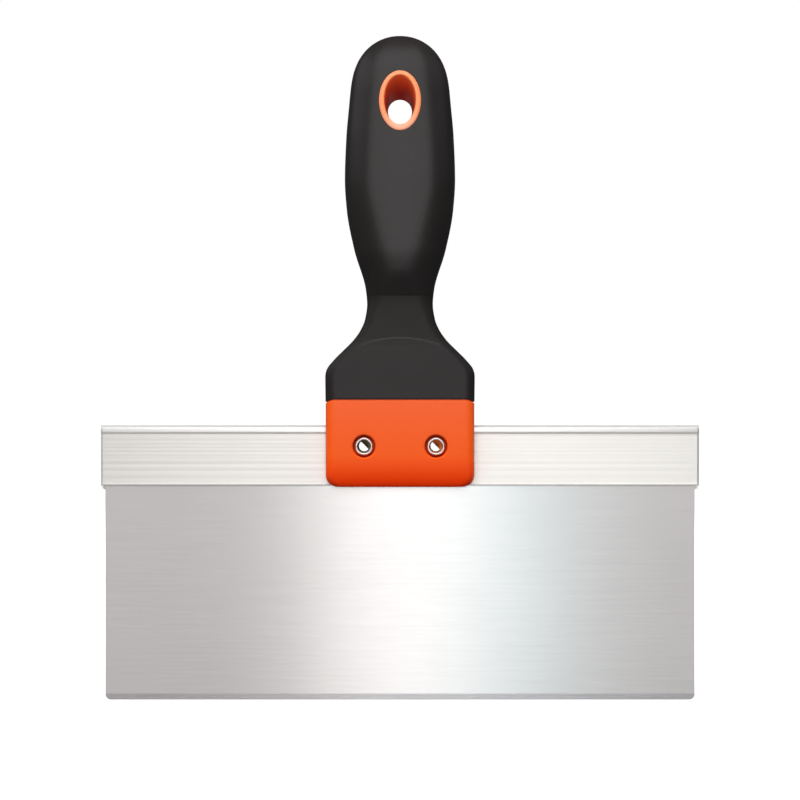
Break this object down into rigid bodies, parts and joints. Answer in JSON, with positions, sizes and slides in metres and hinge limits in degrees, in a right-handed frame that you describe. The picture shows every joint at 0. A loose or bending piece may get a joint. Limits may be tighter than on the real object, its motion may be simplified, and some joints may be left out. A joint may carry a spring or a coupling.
{
  "type": "flexible putty knife",
  "caption": "Wide flexible putty knife: a thin steel blade in an aluminium backer rail, riveted into an orange clip under a black soft grip with a hanging hole.",
  "frame": {"origin": "middle of the blade's working edge, below the handle's axis", "axes": "+Z from the working edge up along the handle to its rounded end, +X along the blade to the right when seen from the front, +Y out of the back; the ground bevel and the large mouth of the hanging hole face -Y"},
  "size_m": [0.222, 0.0272, 0.2466],
  "materials": {
    "blade_steel": "satin stainless sheet with fine grain along its width",
    "rail_aluminium": "natural extruded aluminium with fine lengthwise lines",
    "orange_plastic": "moulded orange plastic, satin",
    "black_soft_grip": "matte charcoal soft-touch overmould",
    "rivet_steel": "bright plated tube, rolled ends"
  },
  "bodies": {
    "handle": {"handle_core": "orange_plastic", "grip": "black_soft_grip", "backer_rail": "rail_aluminium", "rivet_left": "rivet_steel", "rivet_right": "rivet_steel"},
    "blade": {"blade": "blade_steel"}
  },
  "joints": [
    {"name": "blade_flex", "type": "hinge", "parent": "handle", "child": "blade", "pos_m": [0, 0, 0.079], "axis": [1, 0, 0], "range_deg": [-15, 15], "stiffness_Nm_per_rad": 17, "deforming": ["blade"]}
  ]
}
